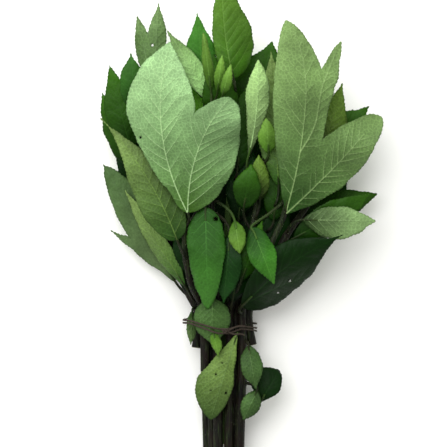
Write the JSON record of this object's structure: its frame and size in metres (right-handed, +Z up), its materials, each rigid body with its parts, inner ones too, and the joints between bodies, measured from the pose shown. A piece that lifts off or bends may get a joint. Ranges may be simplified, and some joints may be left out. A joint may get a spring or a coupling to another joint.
{
  "type": "bunch of leafy herb shoots",
  "caption": "Tied bunch of cut leafy sorrel shoots with lobed, toothed leaves, lying on its side, cut stems together at one end.",
  "frame": {"origin": "on the surface the bunch lies on, under the middle of its bounding box", "axes": "+Y from the cut stem ends to the leafy tips, +Z up from the surface, +X to the right seen from above"},
  "size_m": [0.2268, 0.3971, 0.0762],
  "materials": {
    "foliage": "satin",
    "strand": "matte"
  },
  "bodies": {
    "root": {"shoot_low_left": "foliage", "shoot_low_mid_left": "foliage", "shoot_low_mid_right": "foliage", "shoot_low_right": "foliage", "shoot_mid_left": "foliage", "shoot_mid_mid_left": "foliage", "shoot_mid": "foliage", "shoot_mid_mid_right": "foliage", "shoot_mid_right": "foliage", "shoot_top_mid_right": "foliage", "shoot_top_right": "foliage", "shoot_top_mid_left": "foliage", "shoot_top_left": "foliage", "tie_strand": "strand"}
  },
  "joints": []
}
